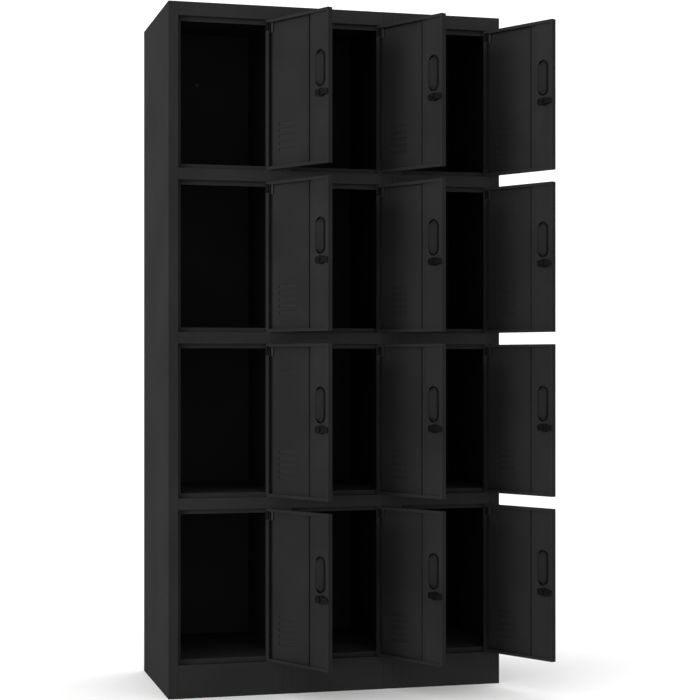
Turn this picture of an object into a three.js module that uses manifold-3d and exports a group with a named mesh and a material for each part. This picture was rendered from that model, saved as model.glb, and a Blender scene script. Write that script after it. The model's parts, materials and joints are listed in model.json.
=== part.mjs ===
// Steel locker cabinet: modules side by side, each a tall box of compartments one above the other.
// Every compartment has its own door, hinged on the right, with a finger cup and a cam lock.
// Millimetres, +Z up. The origin is the centre of the footprint, on the floor.
// X runs across the front to the right, and Y from the front to the back.
// The doors are drawn open, and each lock is drawn with its cam turned to the door's free edge.

import * as THREE from "three";
import { mergeVertices } from "three/addons/utils/BufferGeometryUtils.js";
import Module from "manifold-3d";

const { Manifold, Mesh: SolidMesh } = await loadManifold();

// The whole cabinet
const WIDTH = 900;
const DEPTH = 450;
const HEIGHT = 1800;
const COLUMNS = 3;
const DOORWAY_HEIGHTS = [394, 394, 400.5, 400.5]; // from the top down
const SHEET = 0.8; // steel thickness
const GAP = 0.3; // between separate sheets that lie against each other

// Front frame of a module
const POST_WIDTH = 25;
const JAMB_DEPTH = 16; // from the front face back to the stop lips
const POST_LIP = 9; // stop lip beside a doorway
const RAIL_LIP = 12; // stop lip above and below a doorway
const RAIL_HEIGHT = 29.5;
const TOP_RAIL_HEIGHT = 36;
const PLINTH_FOOT = 20; // flange on the floor behind the plinth
const PLINTH_FOOT_LIP = 12;

// Back of a module
const SIDE_REAR_FLANGE = 25;
const SHELF_REAR_FLANGE = 18;
const TOP_REAR_FLANGE = 20;
const ANCHOR_HOLE_RADIUS = 4.5;
const ANCHOR_HOLE_HEIGHT = 1657;

// Channel under each floor
const SUPPORT_WIDTH = 40;
const SUPPORT_FRONT = -190;
const SUPPORT_BACK = 200;

// Door
const DOOR_THICKNESS = 14;
const DOOR_HINGE_GAP = 3;
const DOOR_LATCH_GAP = 2;
const DOOR_END_GAP = 1;
const DOOR_HINGE_LIP = 12;
const DOOR_FREE_LIP = 8;
const DOOR_END_LIP = 8;
const DOOR_BOX_WIDTH = 79.8; // closed box section along the free edge
const DOOR_BOX_SETBACK = 4; // from the lips' plane to the box section
const DOOR_GROOVE = { width: 17.3, depth: 4.5 }; // along the box section's hinge side
const OPEN_ANGLE = THREE.MathUtils.degToRad(118);

// Hinge pins
const PIN_INSET = 5; // from the door's hinge edge
const PIN_SETBACK = 4.5; // behind the door's front face
const PIN_RADIUS = 2.5;
const PIN_HOLE_RADIUS = 3.1;
const PIN_REACH = 3.5; // past the door's end
const PIN_LENGTH = 38;
const PIN_WINDOW = { width: 15.5, height: 23, top: 6 }; // shows the upper pin through the hinge lip

// Louvers, measured from the door's hinge edge and bottom
const LOUVER_COUNT = 5;
const LOUVER_PITCH = 17;
const LOUVER_WIDTH = 65;
const LOUVER_SLOT = 9;
const LOUVER_CENTRE = 71;
const LOUVER_FIRST = 46;

// Card holder on the door's front, measured from its hinge edge and top
const CARD_WIDTH = 65;
const CARD_HEIGHT = 35;
const CARD_CENTRE = 67;
const CARD_TOP = 42;
const CARD_RIM = 3;
const CARD_RIM_DEPTH = 1.6;

// Recessed handle, measured from the door's free edge and bottom. Its floor slopes: the cup is
// shallow towards the free edge and deep towards the hinge.
const CUP_CENTRE = 34.4;
const CUP_HEIGHT = 242.5;
const CUP_HOLE = { width: 38, height: 94, corner: 18 }; // in the door's box section
const CUP_MOUTH = { width: 27, height: 88, corner: 13.4 };
const CUP_SHALLOW = { width: 25, height: 86, corner: 12.4 };
const CUP_SHALLOW_DEPTH = 5; // behind the door's front face
const CUP_DEEP = { width: 10, height: 67, corner: 4.5 };
const CUP_DEEP_DEPTH = 12;
const CUP_WALL = 1.5;
const BEZEL = { width: 50, height: 140, corner: 10 };
const BEZEL_DEPTH = 1.5;
const BEZEL_HEIGHT = 229;

// Cam lock
const LOCK_INSET = 27.8; // from the door's free edge
const LOCK_HEIGHT = 180;
const BARREL_RADIUS = 9.5;
const BARREL_BACK = 17.5; // behind the door's front face
const BORE_RADIUS = 7.4;
const PLUG_RADIUS = 6.8;
const LOCK_SIDES = 12;
const PLUG_FRONT = 3; // how far the plug stands out of the door's front face
const KEY_SLOT = { width: 1.8, height: 8, depth: 2.5 };
const CAM_WIDTH = 15;
const CAM_THICKNESS = 2.5;
const CAM_CORNER = 7;
const CAM_LENGTH = 30.3; // from the plug's axis to the cam's tip
const CAM_HEEL = 9;
const CAM_BACK = 20.3; // behind the door's front face

// Sizes that follow
const FRONT = -DEPTH / 2;
const BACK = DEPTH / 2;
const MODULE_PITCH = (WIDTH + GAP) / COLUMNS;
const MODULE_WIDTH = MODULE_PITCH - GAP;
const OPENING_WIDTH = MODULE_WIDTH - 2 * POST_WIDTH;
const ROWS = DOORWAY_HEIGHTS.length;
const PLINTH_HEIGHT = openingBottom(ROWS);
const WALL_TOP = HEIGHT - SHEET - GAP;
const STOP_PLANE = FRONT + JAMB_DEPTH;
const PLATE_FRONT = STOP_PLANE + SHEET + GAP; // where a shelf can pass behind the posts' lips
const BACK_PANEL_REAR = BACK - SHEET - GAP;
const SIDE_FLANGE_REAR = BACK_PANEL_REAR - SHEET - GAP;
const SHELF_REAR = SIDE_FLANGE_REAR - SHEET - GAP;

const DOOR_WIDTH = OPENING_WIDTH - DOOR_HINGE_GAP - DOOR_LATCH_GAP;
// A door's own frame has its origin on the hinge axis at the door's bottom edge.
const DOOR_HINGE_EDGE = PIN_INSET;
const DOOR_FREE_EDGE = PIN_INSET - DOOR_WIDTH;
const DOOR_FRONT = -PIN_SETBACK;
const DOOR_REAR = DOOR_FRONT + DOOR_THICKNESS;
const DOOR_BOX_EDGE = DOOR_FREE_EDGE + DOOR_BOX_WIDTH;
const DOOR_BOX_REAR = DOOR_REAR - DOOR_BOX_SETBACK;
const DOOR_GROOVE_REAR = DOOR_BOX_REAR - DOOR_GROOVE.depth;
const CUP_X = DOOR_FREE_EDGE + CUP_CENTRE;
const LOCK_X = DOOR_FREE_EDGE + LOCK_INSET;

const OVERLAP = 0.4; // pieces of one part run this far into each other before they are joined
const CLEARANCE = 0.4; // around a piece that passes through a hole
const BEYOND = 1; // how far a cutting tool runs past the sheet it cuts

// ---------------------------------------------------------------- materials

function coat(color, roughness, metalness) {
  return new THREE.MeshStandardMaterial({ color, roughness, metalness, flatShading: true });
}

const carcassCoat = coat(0x242424, 0.6, 0.3);
const doorCoat = coat(0x282828, 0.55, 0.3);
const handlePlastic = coat(0x101010, 0.45, 0);
const lockSteel = coat(0x77787a, 0.35, 1);

// ------------------------------------------------------------ solid helpers

async function loadManifold() {
  const library = await Module();
  library.setup();
  return library;
}

function solidFrom(geometry) {
  const bare = geometry.clone();
  bare.deleteAttribute("normal");
  bare.deleteAttribute("uv");
  const merged = mergeVertices(bare);
  const vertProperties = merged.attributes.position.array;
  const triVerts = new Uint32Array(merged.index.array);
  return new Manifold(new SolidMesh({ numProp: 3, vertProperties, triVerts }));
}

function geometryFrom(solid) {
  const { vertProperties, triVerts } = solid.getMesh();
  const geometry = new THREE.BufferGeometry();
  geometry.setAttribute("position", new THREE.BufferAttribute(vertProperties, 3));
  geometry.setIndex(new THREE.BufferAttribute(triVerts, 1));
  geometry.computeVertexNormals();
  return geometry;
}

function joined(solids) {
  return solids.reduce((whole, piece) => whole.add(piece));
}

function cut(solid, tools) {
  return tools.reduce((left, tool) => left.subtract(tool), solid);
}

function box([x0, x1], [y0, y1], [z0, z1]) {
  const geometry = new THREE.BoxGeometry(x1 - x0, y1 - y0, z1 - z0);
  geometry.translate((x0 + x1) / 2, (y0 + y1) / 2, (z0 + z1) / 2);
  return solidFrom(geometry);
}

function uprightRod(radius, sides, x, y, [z0, z1]) {
  const geometry = new THREE.CylinderGeometry(radius, radius, z1 - z0, sides);
  geometry.rotateX(Math.PI / 2);
  geometry.translate(x, y, (z0 + z1) / 2);
  return solidFrom(geometry);
}

function levelRod(radius, sides, x, [y0, y1], z) {
  const geometry = new THREE.CylinderGeometry(radius, radius, y1 - y0, sides);
  geometry.translate(x, (y0 + y1) / 2, z);
  return solidFrom(geometry);
}

// Extrusions of an outline along each axis. The outline's two coordinates are
// X and Y, Y and Z, or X and Z, in that order.
const X_AXIS = new THREE.Vector3(1, 0, 0);
const Y_AXIS = new THREE.Vector3(0, 1, 0);
const Z_AXIS = new THREE.Vector3(0, 0, 1);
const ALONG_X = new THREE.Matrix4().makeBasis(Y_AXIS, Z_AXIS, X_AXIS);
const ALONG_Y = new THREE.Matrix4().makeBasis(X_AXIS, Z_AXIS, Y_AXIS.clone().negate());

function extruded(outline, length) {
  return new THREE.ExtrudeGeometry(new THREE.Shape(outline), { depth: length, bevelEnabled: false });
}

function extrudedAlongX(outline, [x0, x1]) {
  return solidFrom(extruded(outline, x1 - x0).applyMatrix4(ALONG_X).translate(x0, 0, 0));
}

function extrudedAlongY(outline, [y0, y1]) {
  return solidFrom(extruded(outline, y1 - y0).applyMatrix4(ALONG_Y).translate(0, y1, 0));
}

function extrudedAlongZ(outline, [z0, z1]) {
  return solidFrom(extruded(outline, z1 - z0).translate(0, 0, z0));
}

// The section of a folded sheet: its outer face follows the path, and its
// thickness lies to the left of it.
function foldedSection(path, thickness = SHEET) {
  const outer = path.map(([a, b]) => new THREE.Vector2(a, b));
  const directions = outer.slice(1).map((point, i) => point.clone().sub(outer[i]).normalize());
  const inner = outer.map((point, i) => {
    const before = directions[Math.max(i - 1, 0)];
    const after = directions[Math.min(i, directions.length - 1)];
    const left = new THREE.Vector2(-before.y - after.y, before.x + after.x);
    return point.clone().addScaledVector(left, thickness / (1 + before.dot(after)));
  });
  return [...outer, ...inner.reverse()];
}

const CORNER_STEPS = 3;

function roundedOutline({ width, height, corner }, grow = 0) {
  const points = [];
  const signs = [[1, 1], [-1, 1], [-1, -1], [1, -1]];
  signs.forEach(([sx, sy], quarter) => {
    for (let step = 0; step <= CORNER_STEPS; step += 1) {
      const angle = (quarter + step / CORNER_STEPS) * (Math.PI / 2);
      const x = sx * (width / 2 - corner) + (corner + grow) * Math.cos(angle);
      const y = sy * (height / 2 - corner) + (corner + grow) * Math.sin(angle);
      points.push(new THREE.Vector2(x, y));
    }
  });
  return points;
}

// A solid whose sections across Y are outlines with the same number of points.
// Each level is an outline centred on (x, z), its place along Y, and its shift along X.
function lofted(levels, x, z) {
  const count = levels[0].outline.length;
  const positions = levels.flatMap(({ outline, y, shift = 0 }) =>
    outline.flatMap((point) => [x + shift + point.x, y, z + point.y]),
  );
  const index = [];
  for (let level = 0; level + 1 < levels.length; level += 1) {
    for (let i = 0; i < count; i += 1) {
      const a = level * count + i;
      const b = level * count + ((i + 1) % count);
      index.push(a, a + count, b, b, a + count, b + count);
    }
  }
  const last = (levels.length - 1) * count;
  for (let i = 1; i + 1 < count; i += 1) {
    index.push(0, i, i + 1, last, last + i + 1, last + i);
  }
  const geometry = new THREE.BufferGeometry();
  geometry.setAttribute("position", new THREE.Float32BufferAttribute(positions, 3));
  geometry.setIndex(index);
  return solidFrom(geometry);
}

function part(name, solid, material) {
  const mesh = new THREE.Mesh(geometryFrom(solid), material);
  mesh.name = name;
  return mesh;
}

// ------------------------------------------------------------------ carcass

// Rows are counted from the top.
function openingBottom(row) {
  const doorways = DOORWAY_HEIGHTS.slice(0, row).reduce((sum, height) => sum + height);
  return HEIGHT - TOP_RAIL_HEIGHT - doorways - (row - 1) * RAIL_HEIGHT;
}

// One folded sheet: rear flange, wall, front post, jamb and stop lip.
function leftSidePanel() {
  const path = [
    [SIDE_REAR_FLANGE, SIDE_FLANGE_REAR],
    [0, SIDE_FLANGE_REAR],
    [0, FRONT],
    [POST_WIDTH, FRONT],
    [POST_WIDTH, STOP_PLANE],
    [POST_WIDTH + POST_LIP, STOP_PLANE],
  ];
  return extrudedAlongZ(foldedSection(path), [0, WALL_TOP]);
}

function mirroredAcrossModule(solid) {
  return solid.mirror([1, 0, 0]).translate([MODULE_WIDTH, 0, 0]);
}

function backPanel() {
  const plate = box([0, MODULE_WIDTH], [BACK_PANEL_REAR - SHEET, BACK_PANEL_REAR], [0, WALL_TOP]);
  const through = [BACK_PANEL_REAR - SHEET - BEYOND, BACK_PANEL_REAR + BEYOND];
  return cut(plate, [levelRod(ANCHOR_HOLE_RADIUS, 8, MODULE_WIDTH / 2, through, ANCHOR_HOLE_HEIGHT)]);
}

// Rails, ledges and lips of a folded plate stop short of the posts, and the
// plate behind them keeps its whole width.
function fittedBetweenPosts(solid) {
  const below = [-BEYOND, HEIGHT - SHEET];
  const posts = [POST_WIDTH + GAP, [FRONT - BEYOND, PLATE_FRONT]];
  const lips = [POST_WIDTH + POST_LIP + GAP, [STOP_PLANE - GAP, PLATE_FRONT]];
  const tools = [posts, lips].flatMap(([reach, depth]) => [
    box([-BEYOND, reach], depth, below),
    box([MODULE_WIDTH - reach, MODULE_WIDTH + BEYOND], depth, below),
  ]);
  return cut(solid, tools);
}

function hingePinHole(height) {
  const x = MODULE_WIDTH - POST_WIDTH - DOOR_HINGE_GAP - PIN_INSET;
  const through = [height - BEYOND - SHEET, height + BEYOND + SHEET];
  return uprightRod(PIN_HOLE_RADIUS, 8, x, FRONT + PIN_SETBACK, through);
}

const BETWEEN_WALLS = [SHEET + GAP, MODULE_WIDTH - SHEET - GAP];

// The compartment floor steps down to a ledge, folds down as the rail, and
// returns to the stop lip over the next doorway.
function shelf(row) {
  const railTop = openingBottom(row);
  const railBottom = railTop - RAIL_HEIGHT;
  const floor = railTop + RAIL_LIP;
  const path = [
    [SHELF_REAR, floor - SHELF_REAR_FLANGE],
    [SHELF_REAR, floor],
    [STOP_PLANE, floor],
    [STOP_PLANE, railTop],
    [FRONT, railTop],
    [FRONT, railBottom],
    [STOP_PLANE, railBottom],
    [STOP_PLANE, railBottom - RAIL_LIP],
  ];
  const sheet = fittedBetweenPosts(extrudedAlongX(foldedSection(path), BETWEEN_WALLS));
  return cut(sheet, [hingePinHole(railTop), hingePinHole(railBottom)]);
}

function topPan() {
  const railBottom = HEIGHT - TOP_RAIL_HEIGHT;
  const path = [
    [BACK, HEIGHT - TOP_REAR_FLANGE],
    [BACK, HEIGHT],
    [FRONT, HEIGHT],
    [FRONT, railBottom],
    [STOP_PLANE, railBottom],
    [STOP_PLANE, railBottom - RAIL_LIP],
  ];
  const sheet = fittedBetweenPosts(extrudedAlongX(foldedSection(path), [0, MODULE_WIDTH]));
  return cut(sheet, [hingePinHole(railBottom)]);
}

// The lowest floor folds down as the plinth, and a channel under it carries
// its middle.
function basePan() {
  const floor = PLINTH_HEIGHT + RAIL_LIP;
  const path = [
    [SHELF_REAR, floor - SHELF_REAR_FLANGE],
    [SHELF_REAR, floor],
    [STOP_PLANE, floor],
    [STOP_PLANE, PLINTH_HEIGHT],
    [FRONT, PLINTH_HEIGHT],
    [FRONT, 0],
    [FRONT + PLINTH_FOOT, 0],
    [FRONT + PLINTH_FOOT, PLINTH_FOOT_LIP],
  ];
  const sheet = fittedBetweenPosts(extrudedAlongX(foldedSection(path), BETWEEN_WALLS));
  const left = (MODULE_WIDTH - SUPPORT_WIDTH) / 2;
  const right = left + SUPPORT_WIDTH;
  const underFloor = floor - SHEET + OVERLAP;
  const support = extrudedAlongY(
    foldedSection([[left, underFloor], [left, 0], [right, 0], [right, underFloor]]),
    [SUPPORT_FRONT, SUPPORT_BACK],
  );
  return cut(joined([sheet, support]), [hingePinHole(PLINTH_HEIGHT)]);
}

// -------------------------------------------------------------------- doors

// A folded pan with return lips, open to the back, with a box section along its free edge. The
// box section stands a little lower than the lips, and a groove runs along its hinge side.
function doorPan(height) {
  const block = box([DOOR_FREE_EDGE, DOOR_HINGE_EDGE], [DOOR_FRONT, DOOR_REAR], [0, height]);
  const floor = DOOR_FRONT + SHEET;
  const underLips = DOOR_REAR - SHEET;
  const inside = [SHEET, height - SHEET];
  const grooveEnd = DOOR_BOX_EDGE - SHEET;
  const grooveStart = grooveEnd - DOOR_GROOVE.width;
  const freeFlange = DOOR_FREE_EDGE + SHEET;
  return cut(block, [
    box([freeFlange, grooveStart - SHEET], [floor, DOOR_BOX_REAR - SHEET], inside),
    box([freeFlange, grooveEnd], [floor, DOOR_GROOVE_REAR - SHEET], inside),
    box([grooveStart, grooveEnd], [DOOR_GROOVE_REAR, underLips], inside),
    box([DOOR_BOX_EDGE, DOOR_HINGE_EDGE - SHEET], [floor, underLips], inside),
    box([freeFlange, DOOR_BOX_EDGE + OVERLAP], [DOOR_BOX_REAR, underLips], inside),
    box(
      [DOOR_FREE_EDGE + DOOR_FREE_LIP, DOOR_HINGE_EDGE - DOOR_HINGE_LIP],
      [underLips - OVERLAP, DOOR_REAR + BEYOND],
      [DOOR_END_LIP, height - DOOR_END_LIP],
    ),
    pinWindow(height),
  ]);
}

function pinWindow(doorHeight) {
  const top = doorHeight - PIN_WINDOW.top;
  return box(
    [DOOR_HINGE_EDGE - PIN_WINDOW.width, DOOR_HINGE_EDGE - SHEET],
    [DOOR_REAR - SHEET - OVERLAP, DOOR_REAR + BEYOND],
    [top - PIN_WINDOW.height, top],
  );
}

function hingePins(doorHeight) {
  return [
    [-PIN_REACH, PIN_LENGTH - PIN_REACH],
    [doorHeight + PIN_REACH - PIN_LENGTH, doorHeight + PIN_REACH],
  ].map((span) => uprightRod(PIN_RADIUS, 8, 0, 0, span));
}

function louverSlots() {
  const centre = DOOR_HINGE_EDGE - LOUVER_CENTRE;
  const span = [centre - LOUVER_WIDTH / 2, centre + LOUVER_WIDTH / 2];
  const through = [DOOR_FRONT - BEYOND, DOOR_FRONT + SHEET + BEYOND];
  return Array.from({ length: LOUVER_COUNT }, (_, i) => {
    const foot = LOUVER_FIRST + i * LOUVER_PITCH;
    return box(span, through, [foot, foot + LOUVER_SLOT]);
  });
}

// A frame on three sides, open at the top, that holds a name card.
function cardFrame(doorHeight) {
  const right = DOOR_HINGE_EDGE - CARD_CENTRE + CARD_WIDTH / 2;
  const left = right - CARD_WIDTH;
  const top = doorHeight - CARD_TOP;
  const bottom = top - CARD_HEIGHT;
  const path = [[left, top], [left, bottom], [right, bottom], [right, top]];
  return extrudedAlongY(foldedSection(path, CARD_RIM), [DOOR_FRONT - CARD_RIM_DEPTH, DOOR_FRONT + OVERLAP]);
}

// The bezel hides a square-cornered cut-out in the front sheet. The box section behind it is
// pierced with a rounded hole, which leaves a gap beside the sloping floor of the cup.
function handleHoles() {
  const front = [DOOR_FRONT - BEYOND, DOOR_FRONT + SHEET + OVERLAP];
  const rear = [DOOR_BOX_REAR - SHEET - OVERLAP, DOOR_BOX_REAR + OVERLAP];
  const hole = roundedOutline(CUP_HOLE, CLEARANCE);
  const barrel = BARREL_RADIUS + CLEARANCE;
  return [
    box(
      [LOCK_X - barrel, CUP_X + CUP_HOLE.width / 2 + CLEARANCE],
      front,
      [LOCK_HEIGHT - barrel, CUP_HEIGHT + CUP_MOUTH.height / 2 + CLEARANCE],
    ),
    lofted(rear.map((y) => ({ outline: hole, y })), CUP_X, CUP_HEIGHT),
    levelRod(barrel, LOCK_SIDES, LOCK_X, rear, LOCK_HEIGHT),
  ];
}

function doorSolid(height) {
  const folded = joined([doorPan(height), ...hingePins(height), cardFrame(height)]);
  return cut(folded, [...handleHoles(), ...louverSlots()]);
}

// The cup's sections from its mouth to its deep end, each level with the hinge side of its hole.
// The wall is taken off all round where the cup is hollowed out.
function cupLevels(mouthAt, wall) {
  return [
    { section: CUP_MOUTH, y: mouthAt },
    { section: CUP_SHALLOW, y: DOOR_FRONT + CUP_SHALLOW_DEPTH - wall },
    { section: CUP_DEEP, y: DOOR_FRONT + CUP_DEEP_DEPTH - wall },
  ].map(({ section, y }) => ({
    outline: roundedOutline(section, -wall),
    y,
    shift: (CUP_HOLE.width - section.width) / 2,
  }));
}

// A bezel on the door's front, the finger cup behind it, and the lock's barrel.
function handleSolid() {
  const bezelRear = DOOR_FRONT - GAP;
  const bezelFront = bezelRear - BEZEL_DEPTH;
  const plate = roundedOutline(BEZEL);
  const bezel = lofted([bezelFront, bezelRear].map((y) => ({ outline: plate, y })), CUP_X, BEZEL_HEIGHT);
  const cup = lofted(cupLevels(bezelRear - OVERLAP, 0), CUP_X, CUP_HEIGHT);
  const hollow = lofted(cupLevels(bezelFront - BEYOND, CUP_WALL), CUP_X, CUP_HEIGHT);
  const barrelBack = DOOR_FRONT + BARREL_BACK;
  const barrel = levelRod(BARREL_RADIUS, LOCK_SIDES, LOCK_X, [bezelRear - OVERLAP, barrelBack], LOCK_HEIGHT);
  const boreSpan = [bezelFront - BEYOND, barrelBack + BEYOND];
  const bore = levelRod(BORE_RADIUS, LOCK_SIDES, LOCK_X, boreSpan, LOCK_HEIGHT);
  return cut(joined([bezel, cup, barrel]), [hollow, bore]);
}

// The plug turns in the barrel and carries a flat cam behind the door.
// Its own frame has its origin on the plug's axis, level with the door's front face.
function lockSolid() {
  const camFront = CAM_BACK - CAM_THICKNESS;
  const plug = levelRod(PLUG_RADIUS, LOCK_SIDES, 0, [-PLUG_FRONT, camFront + OVERLAP], 0);
  const slot = box(
    [-KEY_SLOT.width / 2, KEY_SLOT.width / 2],
    [-PLUG_FRONT - BEYOND, -PLUG_FRONT + KEY_SLOT.depth],
    [-KEY_SLOT.height / 2, KEY_SLOT.height / 2],
  );
  const outline = roundedOutline({ width: CAM_LENGTH + CAM_HEEL, height: CAM_WIDTH, corner: CAM_CORNER });
  const cam = lofted([camFront, CAM_BACK].map((y) => ({ outline, y })), (CAM_HEEL - CAM_LENGTH) / 2, 0);
  return cut(joined([plug, cam]), [slot]);
}

// ----------------------------------------------------------------- assembly

// Each column's local frame has its origin at the module's left side, on the floor.
function module(column) {
  const group = new THREE.Group();
  const tag = `c${column}`;
  const left = leftSidePanel();
  group.add(part(`side_panel_${tag}_left`, left, carcassCoat));
  group.add(part(`side_panel_${tag}_right`, mirroredAcrossModule(left), carcassCoat));
  group.add(part(`back_panel_${tag}`, backPanel(), carcassCoat));
  group.add(part(`top_pan_${tag}`, topPan(), carcassCoat));
  group.add(part(`base_pan_${tag}`, basePan(), carcassCoat));
  for (let row = 1; row < ROWS; row += 1) {
    group.add(part(`shelf_${tag}_${row}`, shelf(row), carcassCoat));
  }
  for (let row = 1; row <= ROWS; row += 1) {
    group.add(door(`r${row}${tag}`, row));
  }
  group.position.x = -WIDTH / 2 + (column - 1) * MODULE_PITCH;
  return group;
}

function door(tag, row) {
  const group = new THREE.Group();
  const height = DOORWAY_HEIGHTS[row - 1] - 2 * DOOR_END_GAP;
  group.add(part(`door_${tag}`, doorSolid(height), doorCoat));
  group.add(part(`handle_${tag}`, handleSolid(), handlePlastic));
  const lock = part(`lock_cam_${tag}`, lockSolid(), lockSteel);
  lock.position.set(LOCK_X, DOOR_FRONT, LOCK_HEIGHT);
  group.add(lock);
  group.position.set(
    MODULE_WIDTH - POST_WIDTH - DOOR_HINGE_GAP - PIN_INSET,
    FRONT + PIN_SETBACK,
    openingBottom(row) + DOOR_END_GAP,
  );
  group.rotation.z = OPEN_ANGLE;
  return group;
}

const cabinet = new THREE.Group();
for (let column = 1; column <= COLUMNS; column += 1) {
  cabinet.add(module(column));
}

export default cabinet;
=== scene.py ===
"""Visual model of a black steel locker cabinet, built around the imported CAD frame."""

import json
import math

import bmesh
import bpy
from mathutils import Matrix, Vector

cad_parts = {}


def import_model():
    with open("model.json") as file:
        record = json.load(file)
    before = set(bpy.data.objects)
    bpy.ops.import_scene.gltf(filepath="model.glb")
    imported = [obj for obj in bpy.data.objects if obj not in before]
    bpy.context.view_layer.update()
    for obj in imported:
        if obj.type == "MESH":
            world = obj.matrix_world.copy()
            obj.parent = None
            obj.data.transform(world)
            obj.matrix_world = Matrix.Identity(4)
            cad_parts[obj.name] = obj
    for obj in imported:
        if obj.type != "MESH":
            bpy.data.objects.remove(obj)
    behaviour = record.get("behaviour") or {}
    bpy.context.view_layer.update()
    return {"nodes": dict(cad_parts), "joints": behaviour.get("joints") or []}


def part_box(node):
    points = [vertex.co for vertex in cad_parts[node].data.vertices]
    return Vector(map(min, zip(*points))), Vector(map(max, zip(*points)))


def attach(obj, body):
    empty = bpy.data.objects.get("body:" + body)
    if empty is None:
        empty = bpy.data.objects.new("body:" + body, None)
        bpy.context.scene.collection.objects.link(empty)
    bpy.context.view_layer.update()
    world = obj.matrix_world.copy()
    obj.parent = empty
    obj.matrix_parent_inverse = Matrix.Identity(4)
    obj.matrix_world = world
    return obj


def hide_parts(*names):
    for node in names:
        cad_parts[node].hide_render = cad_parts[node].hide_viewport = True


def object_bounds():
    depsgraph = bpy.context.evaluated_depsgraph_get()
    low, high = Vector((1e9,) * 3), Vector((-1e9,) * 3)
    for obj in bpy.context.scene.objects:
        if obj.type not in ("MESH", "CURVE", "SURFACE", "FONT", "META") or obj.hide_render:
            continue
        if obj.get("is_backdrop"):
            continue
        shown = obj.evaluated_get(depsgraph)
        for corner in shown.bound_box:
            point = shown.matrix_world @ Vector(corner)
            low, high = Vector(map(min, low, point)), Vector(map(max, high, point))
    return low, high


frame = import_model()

MM = 0.001
COLUMNS = (1, 2, 3)
ROWS = (1, 2, 3, 4)
TAGS = [f"r{row}c{column}" for column in COLUMNS for row in ROWS]
JOINTS = {joint["name"]: joint for joint in frame["joints"]}

# Sizes shared with the CAD model
SHEET = 0.8 * MM
PIN_REACH = 3.5 * MM
PIN_RADIUS = 2.5 * MM
PIN_HOLE_RADIUS = 3.1 * MM
PIN_WINDOW = {"width": 15.5 * MM, "height": 23 * MM, "top": 6 * MM}
END_GAP = 1 * MM
DOOR_THICKNESS = 14 * MM
BOX_SETBACK = 4 * MM
BEZEL_GAP = 0.3 * MM
BEZEL_DEPTH = 1.5 * MM
BEZEL = {"width": 50 * MM, "height": 140 * MM, "corner": 10 * MM}
BEZEL_HEIGHT = 229 * MM
CUP_CENTRE = 34.4 * MM
CUP_HEIGHT = 242.5 * MM
CUP_HOLE = {"width": 38 * MM, "height": 94 * MM, "corner": 18 * MM}
CUP_MOUTH = {"width": 27 * MM, "height": 88 * MM, "corner": 13.4 * MM}
CUP_SHALLOW = {"width": 25 * MM, "height": 86 * MM, "corner": 12.4 * MM}
CUP_SHALLOW_DEPTH = 5 * MM
CUP_DEEP = {"width": 10 * MM, "height": 67 * MM, "corner": 4.5 * MM}
CUP_DEEP_DEPTH = 12 * MM
CUP_WALL = 1.5 * MM
LOCK_INSET = 27.8 * MM
LOCK_HEIGHT = 180 * MM
BARREL_RADIUS = 9.5 * MM
BARREL_BACK = 17.5 * MM
PLUG_RADIUS = 6.8 * MM
PLUG_FRONT = 3 * MM
CAM_WIDTH = 15 * MM
CAM_THICKNESS = 2.5 * MM
CAM_CORNER = 7 * MM
CAM_LENGTH = 30.3 * MM
CAM_HEEL = 9 * MM
CAM_BACK = 20.3 * MM
LOUVER_COUNT = 5
LOUVER_PITCH = 17 * MM
LOUVER_WIDTH = 65 * MM
LOUVER_SLOT = 9 * MM
LOUVER_CENTRE = 71 * MM
LOUVER_FIRST = 46 * MM
CARD_WIDTH = 65 * MM
CARD_HEIGHT = 35 * MM
CARD_CENTRE = 67 * MM
CARD_TOP = 42 * MM
ANCHOR_HOLE_RADIUS = 4.5 * MM
ANCHOR_HOLE_HEIGHT = 1657 * MM
MODULE_GAP = 0.3 * MM

# Sizes of pieces that only the visual model has
LOCK_PLATE = {"width": 41 * MM, "height": 18 * MM, "corner": 7 * MM}
PLATE_SHIFT = 6.5 * MM  # of the plate's centre, from the lock towards the hinge
PLATE_THICKNESS = 1.2 * MM
WASHER_THICKNESS = 0.9 * MM
WASHER_RADIUS = 11.1 * MM
NUT_RADIUS = 12 * MM  # to its corners
NUT_THICKNESS = 4.5 * MM
HOOD_DEPTH = 3.2 * MM
HOOD_DROP = 2.2 * MM  # below the foot of its slot
SEAL_RADIUS = 3 * MM
SEAL_START = 30 * MM  # behind the top's front edge
JUST_CLEAR = 0.02 * MM

# View and light
CAMERA_AT = (-1.1546, -4.7827, 0.8601)
CAMERA_YAW = math.radians(15.246)
CAMERA_LENS = 91.55
CAMERA_SHIFT = (-0.0286, 0.0221)
SENSOR_WIDTH = 36
KEY_TOWARD = (-0.875, -0.48, 0.06)
KEY_STRENGTH = 2.95
KEY_ANGLE = 25
WORLD_LEVEL = 1.25
FLOOR_REACH = 14.0


# ------------------------------------------------------------------ the doors' own frames

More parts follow.
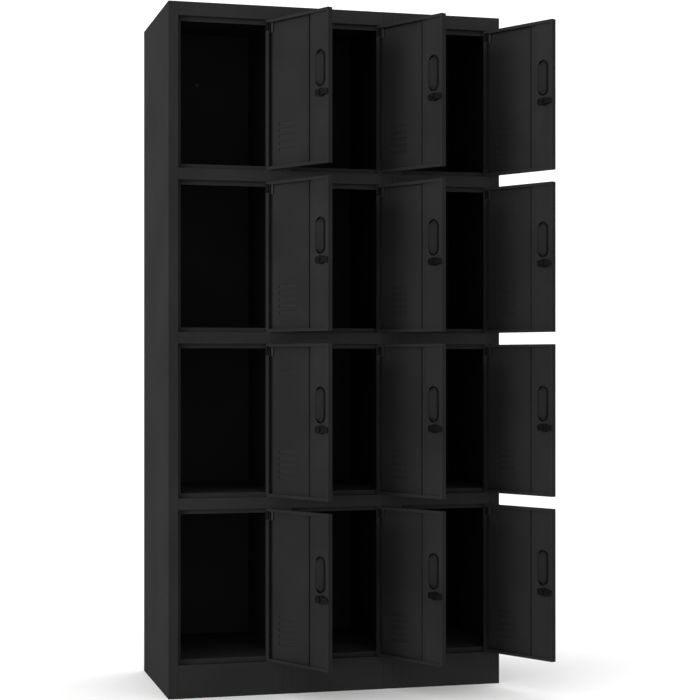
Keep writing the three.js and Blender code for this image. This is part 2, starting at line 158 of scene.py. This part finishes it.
class DoorFrame:
    """A door's own frame: its origin is on the hinge axis at the door's foot, X runs to the
    hinge, Y runs from the outer face to the inner face, and Z runs up."""

    def __init__(self, tag):
        hinge = JOINTS[f"door_hinge_{tag}"]
        opened = -math.radians(hinge["range_deg"][0])
        node = frame["nodes"][f"door_{tag}"]
        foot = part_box(node.name)[0].z + PIN_REACH
        x, y, _ = hinge["pos_m"]
        self.matrix = Matrix.Translation((x, y, foot)) @ Matrix.Rotation(opened, 4, "Z")
        inverse = self.matrix.inverted()
        corners = [inverse @ vertex.co for vertex in node.data.vertices]
        self.hinge_edge = max(corner.x for corner in corners)
        self.free_edge = min(corner.x for corner in corners)
        self.inner_face = max(corner.y for corner in corners)
        self.outer_face = self.inner_face - DOOR_THICKNESS
        self.box_face = self.inner_face - BOX_SETBACK
        self.height = max(corner.z for corner in corners) - PIN_REACH

    def at(self, x, y, z):
        return self.matrix @ Matrix.Translation((x, y, z))


DOORS = {tag: DoorFrame(tag) for tag in TAGS}
DOOR = DOORS["r1c1"]
CUP_X = DOOR.free_edge + CUP_CENTRE
LOCK_X = DOOR.free_edge + LOCK_INSET
CAM_FRONT = CAM_BACK - CAM_THICKNESS


# ------------------------------------------------------------------------- materials

def shader(name):
    material = bpy.data.materials.new(name)
    material.use_nodes = True
    tree = material.node_tree
    return material, tree, tree.nodes["Principled BSDF"]


def noise(tree, scale, detail, roughness=0.5):
    where = tree.nodes.get("Where") or tree.nodes.new("ShaderNodeTexCoord")
    where.name = "Where"
    node = tree.nodes.new("ShaderNodeTexNoise")
    node.inputs["Scale"].default_value = scale
    node.inputs["Detail"].default_value = detail
    node.inputs["Roughness"].default_value = roughness
    tree.links.new(where.outputs["Object"], node.inputs["Vector"])
    return node.outputs["Fac"]


def ramp(tree, value, dark, light, low=0.35, high=0.65):
    node = tree.nodes.new("ShaderNodeValToRGB")
    node.color_ramp.elements[0].position = low
    node.color_ramp.elements[1].position = high
    node.color_ramp.elements[0].color = (*dark, 1)
    node.color_ramp.elements[1].color = (*light, 1)
    tree.links.new(value, node.inputs["Fac"])
    return node.outputs["Color"]


def spread(tree, value, low, high):
    node = tree.nodes.new("ShaderNodeMapRange")
    node.inputs["From Min"].default_value = 0.3
    node.inputs["From Max"].default_value = 0.7
    node.inputs["To Min"].default_value = low
    node.inputs["To Max"].default_value = high
    tree.links.new(value, node.inputs["Value"])
    return node.outputs["Result"]


def bumps(tree, surface, layers):
    """Each layer is (height, strength, distance), from the broadest to the finest."""
    normal = None
    for height, strength, distance in layers:
        node = tree.nodes.new("ShaderNodeBump")
        node.inputs["Strength"].default_value = strength
        node.inputs["Distance"].default_value = distance
        tree.links.new(height, node.inputs["Height"])
        if normal is not None:
            tree.links.new(normal, node.inputs["Normal"])
        normal = node.outputs["Normal"]
    tree.links.new(normal, surface.inputs["Normal"])


def grey(level):
    return (level, level, level * 1.02)


def powder_coat(name, level, roughness):
    """Black powder coat: fine orange peel, faint clouding and slightly uneven gloss."""
    material, tree, surface = shader(name)
    clouds = noise(tree, 5.0, 3)
    colour = ramp(tree, clouds, grey(level * 0.9), grey(level * 1.1))
    tree.links.new(colour, surface.inputs["Base Color"])
    patches = noise(tree, 60.0, 4)
    gloss = spread(tree, patches, roughness - 0.05, roughness + 0.05)
    tree.links.new(gloss, surface.inputs["Roughness"])
    bumps(tree, surface, [
        (noise(tree, 260.0, 2), 0.12, 0.0004),
        (noise(tree, 1300.0, 3, 0.6), 0.18, 0.0002),
    ])
    surface.inputs["Specular IOR Level"].default_value = 0.01
    return material


def moulded_plastic():
    """Satin black plastic with a fine spark-eroded grain."""
    material, tree, surface = shader("moulded_plastic")
    flow = noise(tree, 30.0, 3)
    tree.links.new(ramp(tree, flow, grey(0.0085), grey(0.0105)), surface.inputs["Base Color"])
    tree.links.new(spread(tree, flow, 0.5, 0.6), surface.inputs["Roughness"])
    bumps(tree, surface, [(noise(tree, 2600.0, 2), 0.2, 0.0001)])
    surface.inputs["Specular IOR Level"].default_value = 0.02
    return material


def plated_steel(name, level, roughness):
    """Zinc-plated steel: faint crystalline mottling and fine turning marks."""
    material, tree, surface = shader(name)
    mottle = noise(tree, 420.0, 4, 0.65)
    colour = ramp(tree, mottle, grey(level * 0.75), grey(level * 1.2))
    tree.links.new(colour, surface.inputs["Base Color"])
    gloss = spread(tree, mottle, roughness - 0.08, roughness + 0.08)
    tree.links.new(gloss, surface.inputs["Roughness"])
    bumps(tree, surface, [(noise(tree, 1800.0, 2), 0.15, 0.0001)])
    surface.inputs["Metallic"].default_value = 1.0
    return material


def plain_grain(name, dark, light, roughness, scale, bump):
    material, tree, surface = shader(name)
    grain = noise(tree, scale, 3)
    tree.links.new(ramp(tree, grain, dark, light), surface.inputs["Base Color"])
    gloss = spread(tree, grain, roughness - 0.04, roughness + 0.04)
    tree.links.new(gloss, surface.inputs["Roughness"])
    bumps(tree, surface, [(grain, bump, 0.0002)])
    return material


CARCASS_COAT = powder_coat("carcass_powder_coat", 0.0158, 0.85)
DOOR_COAT = powder_coat("door_powder_coat", 0.0148, 0.85)
# Painted light: the hoods get a lighter copy of the door's powder coat, so their hollow inner faces look
# lit.
LIT_HOOD_COAT = powder_coat("hood_powder_coat_painted_light", 0.0185, 0.85)
PLASTIC = moulded_plastic()
DARK_ZINC = plated_steel("dark_zinc", 0.009, 0.55)
BLACK_STEEL = plain_grain("black_oxide_steel", grey(0.002), grey(0.004), 0.6, 500.0, 0.2)
NYLON = plain_grain("nylon", grey(0.045), grey(0.06), 0.5, 900.0, 0.1)


# --------------------------------------------------------------------- mesh building

def finished_mesh(name, build, material, smooth_angle=35):
    """The mesh that build(bm) makes, with its doubles merged and its faces turned out."""
    bm = bmesh.new()
    build(bm)
    bmesh.ops.remove_doubles(bm, verts=bm.verts, dist=1e-6)
    bmesh.ops.recalc_face_normals(bm, faces=bm.faces)
    for face in bm.faces:
        face.smooth = True
    limit = math.radians(smooth_angle)
    for edge in bm.edges:
        edge.smooth = len(edge.link_faces) == 2 and edge.calc_face_angle(0) < limit
    mesh = bpy.data.meshes.new(name)
    bm.to_mesh(mesh)
    bm.free()
    mesh.materials.append(material)
    return mesh


def place(name, mesh, matrix, body):
    piece = bpy.data.objects.new(name, mesh)
    bpy.context.scene.collection.objects.link(piece)
    piece.matrix_world = matrix
    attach(piece, body)
    return piece


def skin(bm, rings, close_first=True, close_last=True):
    """Joins rings of points, each with as many points as the next."""
    levels = [[bm.verts.new(point) for point in ring] for ring in rings]
    count = len(levels[0])
    for lower, upper in zip(levels, levels[1:]):
        for i in range(count):
            j = (i + 1) % count
            bm.faces.new((lower[i], lower[j], upper[j], upper[i]))
    if close_first:
        bm.faces.new(levels[0][::-1])
    if close_last:
        bm.faces.new(levels[-1])


def rounded_ring(shape, y, grow=0.0, centre=(0.0, 0.0), steps=8):
    """A rounded rectangle in the plane at y, its width along X and its height along Z."""
    radius = shape["corner"] + grow
    points = []
    for quarter, (sx, sz) in enumerate(((1, 1), (-1, 1), (-1, -1), (1, -1))):
        for step in range(steps + 1):
            angle = (quarter + step / steps) * math.pi / 2
            x = sx * (shape["width"] / 2 - shape["corner"]) + radius * math.cos(angle)
            z = sz * (shape["height"] / 2 - shape["corner"]) + radius * math.sin(angle)
            points.append((centre[0] + x, y, centre[1] + z))
    return points


def circle_ring(radius, y, sides=40, centre=(0.0, 0.0), turn=0.0):
    angles = [turn + 2 * math.pi * i / sides for i in range(sides)]
    return [(centre[0] + radius * math.cos(a), y, centre[1] + radius * math.sin(a)) for a in angles]


def turned(bm, profile, sides=40, centre=(0.0, 0.0)):
    """A turned shape about the Y axis, with flat ends. Its profile is a list of (radius, y)."""
    skin(bm, [circle_ring(radius, y, sides, centre) for radius, y in profile])


# ----------------------------------------------------------------------------- handle

def cup_ring(section, y, grow=0.0):
    """A section of the finger cup. All of them lie at the hinge side of the hole around the cup."""
    shift = (CUP_HOLE["width"] - section["width"]) / 2
    return rounded_ring(section, y, grow, (CUP_X + shift, CUP_HEIGHT))


def cup_section(depth):
    """The cup's outline at a depth behind the door's outer face, from its mouth to its deep end."""
    mouth = (CUP_MOUTH, -BEZEL_GAP)
    shallow = (CUP_SHALLOW, CUP_SHALLOW_DEPTH)
    deep = (CUP_DEEP, CUP_DEEP_DEPTH)
    above, below = (mouth, shallow) if depth < CUP_SHALLOW_DEPTH else (shallow, deep)
    (upper, start), (lower, end) = above, below
    share = (depth - start) / (end - start)
    return {key: upper[key] + (lower[key] - upper[key]) * share for key in upper}


def handle_shell(bm):
    """Bezel and finger cup, as one moulding with rounded rims inside and outside."""
    rear = DOOR.outer_face - BEZEL_GAP
    front = rear - BEZEL_DEPTH
    deepest = DOOR.outer_face + CUP_DEEP_DEPTH
    bezel_at = (CUP_X, BEZEL_HEIGHT)
    rim = 1.2 * MM
    depths = [11.2, 10, 8.5, 7, 5.8, 5, 4.2, 3, 1.5, 0.3]
    outside = [
        cup_ring(CUP_DEEP, deepest, -2.4 * MM),
        cup_ring(CUP_DEEP, deepest - 0.2 * MM, -1.2 * MM),
        *[cup_ring(cup_section(depth * MM), DOOR.outer_face + depth * MM) for depth in depths],
        cup_ring(CUP_MOUTH, rear),
        rounded_ring(BEZEL, rear, 0.0, bezel_at),
    ]
    shoulder = [
        rounded_ring(BEZEL, rear - rim * math.sin(turn), rim * (math.cos(turn) - 1), bezel_at)
        for turn in (0.3, 0.7, 1.1, math.pi / 2)
    ]
    crown = rounded_ring(BEZEL, front, -3.0 * MM, bezel_at)
    inside = [
        cup_ring(CUP_MOUTH, front, 0.8 * MM),
        cup_ring(CUP_MOUTH, front + 0.3 * MM, -0.5 * MM),
        cup_ring(CUP_MOUTH, front + 1.3 * MM, -CUP_WALL),
        *[
            cup_ring(cup_section(depth * MM), DOOR.outer_face + depth * MM - CUP_WALL, -CUP_WALL)
            for depth in reversed(depths[:-2])
        ],
        cup_ring(CUP_DEEP, deepest - CUP_WALL, -2.6 * MM),
    ]
    skin(bm, [*outside, *shoulder, crown, *inside])


def barrel(bm):
    """Threaded lock barrel, from the bezel to behind the door's inner face."""
    centre = (LOCK_X, LOCK_HEIGHT)
    back = DOOR.outer_face + BARREL_BACK
    pitch = 1.25 * MM
    depth = 0.45 * MM
    start = DOOR.box_face - 1 * MM
    profile = [(PLUG_RADIUS + 0.4 * MM, DOOR.outer_face), (BARREL_RADIUS, DOOR.outer_face)]
    turns = int((back - start) / pitch)
    for turn in range(turns):
        y = start + turn * pitch
        profile += [(BARREL_RADIUS, y), (BARREL_RADIUS - depth, y + pitch / 2)]
    profile += [
        (BARREL_RADIUS - 0.3 * MM, back - 0.3 * MM),
        (BARREL_RADIUS - 0.9 * MM, back),
        (PLUG_RADIUS + 0.4 * MM, back),
        (PLUG_RADIUS + 0.4 * MM, back - 1 * MM),
    ]
    skin(bm, [circle_ring(radius, y, 40, centre) for radius, y in profile], False, False)


def lock_nut(bm):
    """Washer and hexagon nut that clamp the barrel to the door's box section."""
    centre = (LOCK_X, LOCK_HEIGHT)
    seat = DOOR.box_face + PLATE_THICKNESS + 0.05 * MM
    bore = BARREL_RADIUS + 0.1 * MM
    eased = WASHER_RADIUS - 0.2 * MM
    low = seat + WASHER_THICKNESS
    high = low + NUT_THICKNESS
    turned(bm, [
        (bore, seat), (eased, seat), (WASHER_RADIUS, seat + 0.2 * MM), (eased, low), (bore, low),
    ], 48, centre)
    chamfered = NUT_RADIUS - 0.9 * MM
    levels = [
        (chamfered, low), (NUT_RADIUS, low + 0.6 * MM), (NUT_RADIUS, high - 0.6 * MM), (chamfered, high),
    ]
    skin(bm, [circle_ring(radius, y, 6, centre) for radius, y in levels])


def lock_plate(bm):
    """Thin plate with rounded ends under the lock's nut, which keeps the barrel from turning."""
    centre = (LOCK_X + PLATE_SHIFT, LOCK_HEIGHT)
    ease = 0.3 * MM
    seat = DOOR.box_face + 0.05 * MM
    face = DOOR.box_face + PLATE_THICKNESS
    levels = [(seat, 0.0), (face - ease, 0.0), (face, -ease)]
    skin(bm, [rounded_ring(LOCK_PLATE, y, grow, centre) for y, grow in levels])


# ------------------------------------------------------------------------------- lock

def key_plug(bm):
    """Plug with a rounded face and a keyhole sunk in it, on the lock's own axis."""
    slot = {"width": 1.8 * MM, "height": 8 * MM, "corner": 0.6 * MM}
    front = -PLUG_FRONT
    steps = 8
    sides = 4 * (steps + 1)
    circle = [
        circle_ring(PLUG_RADIUS, CAM_FRONT, sides),
        circle_ring(PLUG_RADIUS, front + 0.8 * MM, sides),
        circle_ring(PLUG_RADIUS - 0.3 * MM, front + 0.2 * MM, sides),
        circle_ring(PLUG_RADIUS - 0.9 * MM, front, sides),
    ]
    mouth = rounded_ring(slot, front, 0.0, (0, 0), steps)
    floor = rounded_ring(slot, front + 2.5 * MM, 0.0, (0, 0), steps)
    skin(bm, [*circle, mouth, floor])


def cam_plate(bm):
    """Flat cam with rounded ends and eased edges."""
    edge = 0.4 * MM
    outline = {"width": CAM_LENGTH + CAM_HEEL, "height": CAM_WIDTH, "corner": CAM_CORNER}
    centre = ((CAM_HEEL - CAM_LENGTH) / 2, 0)
    levels = [
        (CAM_FRONT, -edge), (CAM_FRONT + edge, 0.0), (CAM_BACK - edge, 0.0), (CAM_BACK, -edge),
    ]
    skin(bm, [rounded_ring(outline, y, grow, centre) for y, grow in levels])


def cam_bolt(bm):
    """Hexagon bolt and spring washer that hold the cam on the plug."""
    seat = CAM_BACK
    turned(bm, [
        (3 * MM, seat), (5.6 * MM, seat), (5.8 * MM, seat + 0.3 * MM),
        (5.6 * MM, seat + 1 * MM), (3 * MM, seat + 1 * MM),
    ], 32)
    low, high = seat + 1 * MM, seat + 4 * MM
    across = 5 * MM
    levels = [(across, low), (across, high - 0.5 * MM), (across - 0.7 * MM, high)]
    skin(bm, [circle_ring(radius, y, 6) for radius, y in levels])


def lock_body(bm):
    key_plug(bm)
    cam_plate(bm)
    cam_bolt(bm)


# ------------------------------------------------------------------------------- door

def louver_hoods(bm):
    """Pressed hoods over the slots: curved, closed at their ends and open at the foot, where each
    hangs a little below its slot."""
    across, up = 36, 10
    margin = 0.9 * MM
    centre = DOOR.hinge_edge - LOUVER_CENTRE
    for i in range(LOUVER_COUNT):
        foot = LOUVER_FIRST + i * LOUVER_PITCH
        grid = []
        for row in range(-1, up + 1):
            rise = math.sin(math.pi / 2 * max(row, 0) / up)
            lower = HOOD_DROP if row < 0 else 0.0
            line = []
            for column in range(across + 1):
                side = math.sin(math.pi / 2 * (2 * column / across - 1))
                end = (1 - abs(side) ** 24) ** 0.5
                out = HOOD_DEPTH * end * math.sqrt(max(1 - rise ** 2, 0.0))
                x = centre + side * (LOUVER_WIDTH / 2 + margin)
                z = foot - lower + rise * (LOUVER_SLOT + margin)
                line.append(bm.verts.new((x, DOOR.outer_face - out, z)))
            grid.append(line)
        for lower, upper in zip(grid, grid[1:]):
            for a, b, c, d in zip(lower, lower[1:], upper[1:], upper):
                bm.faces.new((a, b, c, d))


def bead_strip(bm, path, width, depth, y):
    """A low half-round bead along a flat path of (x, z) points on the door's inner face."""
    points = [Vector((x, z)) for x, z in path]
    rings = []
    for i, point in enumerate(points):
        before = (point - points[i - 1]).normalized() if i else (points[1] - point).normalized()
        after = (points[i + 1] - point).normalized() if i + 1 < len(points) else before
        tangent = (before + after).normalized()
        side = Vector((-tangent.y, tangent.x)) / max(tangent.dot(after), 0.5)
        ring = []
        for step in range(7):
            angle = math.pi * step / 6
            offset = side * (width / 2 * math.cos(angle))
            ring.append((point.x + offset.x, y + depth * math.sin(angle), point.y + offset.y))
        rings.append(ring)
    skin(bm, rings)


def rounded_path(corners, radius, steps=5):
    """The corners of an open path, each inner corner turned on an arc."""
    path = [corners[0]]
    for before, corner, after in zip(corners, corners[1:], corners[2:]):
        corner_at = Vector(corner)
        start = corner_at + (Vector(before) - corner_at).normalized() * radius
        end = corner_at + (Vector(after) - corner_at).normalized() * radius
        for step in range(steps + 1):
            share = step / steps
            path.append(tuple(start.lerp(corner_at, share).lerp(corner_at.lerp(end, share), share)))
    return [*path, corners[-1]]


def card_bead(bm):
    """The card frame's stamped outline on the door's inner face, with the door's top at z = 0."""
    right = DOOR.hinge_edge - CARD_CENTRE + CARD_WIDTH / 2
    left = right - CARD_WIDTH
    top = -CARD_TOP
    corners = [(left, top), (left, top - CARD_HEIGHT), (right, top - CARD_HEIGHT), (right, top)]
    bead_strip(bm, rounded_path(corners, 4 * MM), 3.2 * MM, 0.8 * MM, DOOR.outer_face + SHEET)


def hinge_pocket(bm):
    """Black channel-shaped bracket behind the hinge pin, with the door's top at z = 0. Its near-black
    steel is painted shade, which makes the hinge window as dark as deep shadow.
    """
    seat = DOOR.outer_face + SHEET
    thick = 1.2 * MM
    upstand = 4 * MM
    top = 3 * MM - PIN_WINDOW["top"]
    foot = top - PIN_WINDOW["height"] - 6 * MM
    left = DOOR.hinge_edge - PIN_WINDOW["width"] - 3 * MM
    right = DOOR.hinge_edge - SHEET - 0.1 * MM
    ease = 0.3 * MM
    rings = []
    for z, inset in ((foot, ease), (foot + ease, 0.0), (top - ease, 0.0), (top, ease)):
        inner_left = left + thick - inset / 2
        inner_right = right - thick + inset / 2
        web = seat + thick - inset
        rim = seat + upstand - inset
        outline = [
            (left + inset, seat), (right - inset, seat), (right - inset, rim), (inner_right, rim),
            (inner_right, web), (inner_left, web), (inner_left, rim), (left + inset, rim),
        ]
        rings.append([(x, y, z) for x, y in outline])
    skin(bm, rings)


def pin_spring(bm):
    """Spring around the upper hinge pin, as a close coil, with the door's top at z = 0."""
    radius, wire = PIN_RADIUS + 0.5 * MM, 0.45 * MM
    high = -PIN_WINDOW["top"] - 1 * MM
    low = high - PIN_WINDOW["height"] + 2 * MM
    pitch = 1.5 * MM
    steps = 14
    sides = 6
    total = int((high - low) / pitch * steps)
    rings = []
    for i in range(total + 1):
        angle = 2 * math.pi * i / steps
        z = low + (high - low) * i / total
        out = Vector((math.cos(angle), math.sin(angle), 0))
        centre = out * radius + Vector((0, 0, z))
        rings.append([
            centre + out * (wire * math.cos(turn)) + Vector((0, 0, wire * math.sin(turn)))
            for turn in (2 * math.pi * k / sides for k in range(sides))
        ])
    skin(bm, rings)


# ---------------------------------------------------------------------------- carcass

def bushing(bm):
    """Flanged nylon bushing that a hinge pin turns in. Its flange lies on the plane z = 0."""
    bore = PIN_RADIUS + 0.1 * MM
    sleeve = PIN_HOLE_RADIUS - 0.05 * MM
    flange = 5.2 * MM
    thick = END_GAP * 0.6
    profile = [
        (bore, thick), (flange - 0.2 * MM, thick), (flange, thick * 0.6), (flange, 0.02 * MM),
        (sleeve, 0.02 * MM), (sleeve, -2.5 * MM), (bore, -2.5 * MM), (bore, thick),
    ]
    unit = circle_ring(1.0, 0.0, 28)
    rings = [[(radius * x, radius * z, level) for x, _, z in unit] for radius, level in profile]
    skin(bm, rings, False, False)


def anchor_plug(bm):
    """Plug in the wall-anchor hole, with a low domed head on the inside and a rim at the back."""
    panel_front = -SHEET
    shank = ANCHOR_HOLE_RADIUS - 0.1 * MM
    turned(bm, [
        (1.2 * MM, panel_front - 1.2 * MM), (3.4 * MM, panel_front - 1.1 * MM),
        (5.6 * MM, panel_front - 0.6 * MM), (6.2 * MM, panel_front - JUST_CLEAR),
        (shank, panel_front - JUST_CLEAR), (shank, JUST_CLEAR), (5.2 * MM, 0.1 * MM),
        (5.0 * MM, 0.6 * MM), (3.0 * MM, 0.6 * MM),
    ], 40)


def seam_seal(bm, low, high):
    """Sealing strip with a rounded top, in the seam between the tops of two modules."""
    radius = (high.x - low.x) / 2
    middle = low.x + radius
    section = [(low.x, low.z), (high.x, low.z)]
    angles = [math.pi * i / 6 for i in range(7)]
    section += [(middle + radius * math.cos(a), high.z - radius + radius * math.sin(a)) for a in angles]
    skin(bm, [[(x, y, z) for x, z in section] for y in (low.y, (low.y + high.y) / 2, high.y)])


def corner_seal(bm, corner, inward, length):
    """Hollow-faced bead of sealant under a module's ceiling, against its side wall."""
    section = [(0.0, 0.0)]
    for i in range(6):
        angle = math.pi / 2 * i / 5
        section.append((SEAL_RADIUS * (1 - math.cos(angle)), SEAL_RADIUS * (math.sin(angle) - 1)))
    rings = []
    for share in (0.0, 0.5, 1.0):
        y = corner.y + share * length
        rings.append([(corner.x + inward * across, y, corner.z + down) for across, down in section])
    skin(bm, rings)


# --------------------------------------------------------------------------- assembly

for name, node in frame["nodes"].items():
    node.data.materials.clear()
    node.data.materials.append(DOOR_COAT if name.startswith("door_") else CARCASS_COAT)
    weld = node.modifiers.new("weld", "WELD")
    weld.merge_threshold = 0.005 * MM
    flatten = node.modifiers.new("flatten", "DECIMATE")
    flatten.decimate_type = "DISSOLVE"
    flatten.angle_limit = math.radians(1)
    bevel = node.modifiers.new("soft_edges", "BEVEL")
    bevel.width = 0.3 * MM
    bevel.segments = 2
    bevel.limit_method = "ANGLE"
    bevel.angle_limit = math.radians(40)

HANDLE = finished_mesh("handle_shell", handle_shell, PLASTIC)
BARREL = finished_mesh("lock_barrel", barrel, DARK_ZINC)
NUT = finished_mesh("lock_nut", lock_nut, DARK_ZINC, 25)
PLATE = finished_mesh("lock_plate", lock_plate, DARK_ZINC)
LOCK = finished_mesh("lock_body", lock_body, DARK_ZINC, 30)
HOODS = finished_mesh("louver_hoods", louver_hoods, LIT_HOOD_COAT, 60)
BEAD = finished_mesh("card_bead", card_bead, DOOR_COAT, 60)
# The hinge bracket's near-black steel is painted shade in the hinge window.
POCKET = finished_mesh("hinge_pocket", hinge_pocket, BLACK_STEEL)
SPRING = finished_mesh("pin_spring", pin_spring, DARK_ZINC, 80)
BUSHING = finished_mesh("bushing", bushing, NYLON)
PLUG = finished_mesh("anchor_plug", anchor_plug, BLACK_STEEL)

for tag, door in DOORS.items():
    body = f"door_{tag}"
    handle = place(f"handle_shell_{tag}", HANDLE, door.matrix, body)
    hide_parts(f"handle_{tag}")
    place(f"lock_barrel_{tag}", BARREL, door.matrix, body)
    place(f"lock_nut_{tag}", NUT, door.matrix, body)
    place(f"lock_plate_{tag}", PLATE, door.matrix, body)
    lock_at = door.at(LOCK_X, DOOR.outer_face, LOCK_HEIGHT)
    lock = place(f"lock_{tag}", LOCK, lock_at, f"lock_{tag}")
    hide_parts(f"lock_cam_{tag}")
    hoods = place(f"louver_hoods_{tag}", HOODS, door.matrix, body)
    shell = hoods.modifiers.new("sheet", "SOLIDIFY")
    shell.thickness = SHEET
    shell.offset = 0
    top = door.at(0, 0, door.height)
    place(f"card_bead_{tag}", BEAD, top, body)
    place(f"hinge_pocket_{tag}", POCKET, top, body)
    place(f"pin_spring_{tag}", SPRING, top, body)
    below = door.at(0, 0, -END_GAP)
    above = door.at(0, 0, door.height + END_GAP) @ Matrix.Rotation(math.pi, 4, "X")
    place(f"bushing_low_{tag}", BUSHING, below, "carcass")
    place(f"bushing_high_{tag}", BUSHING, above, "carcass")

for column in COLUMNS:
    panel_low, panel_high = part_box(f"back_panel_c{column}")
    middle = (panel_low.x + panel_high.x) / 2
    at = Matrix.Translation((middle, panel_high.y, ANCHOR_HOLE_HEIGHT))
    place(f"anchor_plug_c{column}", PLUG, at, "carcass")

for column in COLUMNS:
    top_low, top_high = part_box(f"top_pan_c{column}")
    for side, inward in (("left", 1), ("right", -1)):
        wall_low, wall_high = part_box(f"side_panel_c{column}_{side}")
        outer = wall_low.x if side == "left" else wall_high.x
        inset = SHEET + JUST_CLEAR
        start = top_low.y + SEAL_START
        corner = Vector((outer + inward * inset, start, top_high.z - inset))
        length = top_high.y - SHEET - 1 * MM - start
        name = f"corner_seal_{column}_{side}"
        bead = finished_mesh(name, lambda bm: corner_seal(bm, corner, inward, length), BLACK_STEEL)
        place(name, bead, Matrix(), "carcass")

for column in COLUMNS[:-1]:
    top_low, top_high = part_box(f"top_pan_c{column}")
    low = Vector((top_high.x, top_low.y, top_high.z - SHEET)) + Vector((JUST_CLEAR, JUST_CLEAR, 0))
    high = Vector((top_high.x + MODULE_GAP, top_high.y, top_high.z)) - Vector([JUST_CLEAR] * 3)
    strip = finished_mesh(f"seam_seal_{column}", lambda bm: seam_seal(bm, low, high), BLACK_STEEL)
    place(f"seam_seal_{column}", strip, Matrix(), "carcass")


# ----------------------------------------------------------------- floor, light, camera

def floor():
    bm = bmesh.new()
    bmesh.ops.create_grid(bm, x_segments=8, y_segments=8, size=FLOOR_REACH)
    mesh = bpy.data.meshes.new("studio_floor")
    bm.to_mesh(mesh)
    bm.free()
    material, tree, surface = shader("studio_floor")
    cloud = noise(tree, 1.5, 2)
    colour = ramp(tree, cloud, (0.93, 0.93, 0.93), (0.95, 0.95, 0.95))
    tree.links.new(colour, surface.inputs["Base Color"])
    surface.inputs["Roughness"].default_value = 0.9
    mesh.materials.append(material)
    plane = bpy.data.objects.new("studio_floor", mesh)
    bpy.context.scene.collection.objects.link(plane)
    plane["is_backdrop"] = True


def key_light(toward, strength, spread_angle):
    """A far, soft light in the given direction."""
    light = bpy.data.lights.new("key", "SUN")
    light.energy = strength
    light.angle = math.radians(spread_angle)
    lamp = bpy.data.objects.new("key", light)
    lamp.rotation_euler = (-Vector(toward)).to_track_quat("-Z", "Y").to_euler()
    bpy.context.scene.collection.objects.link(lamp)


def world(level):
    scene_world = bpy.data.worlds.new("studio")
    scene_world.use_nodes = True
    background = scene_world.node_tree.nodes["Background"]
    background.inputs["Color"].default_value = (1, 1, 1, 1)
    background.inputs["Strength"].default_value = level
    bpy.context.scene.world = scene_world


def camera():
    data = bpy.data.cameras.new("camera")
    data.sensor_width = SENSOR_WIDTH
    data.lens = CAMERA_LENS
    data.shift_x, data.shift_y = CAMERA_SHIFT
    data.clip_end = 100
    made = bpy.data.objects.new("camera", data)
    made.location = CAMERA_AT
    made.rotation_euler = (math.pi / 2, 0, -CAMERA_YAW)
    bpy.context.scene.collection.objects.link(made)
    bpy.context.scene.camera = made


floor()
world(WORLD_LEVEL)
key_light(KEY_TOWARD, KEY_STRENGTH, KEY_ANGLE)
camera()
bpy.context.scene.view_settings.view_transform = "Standard"

low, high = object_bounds()
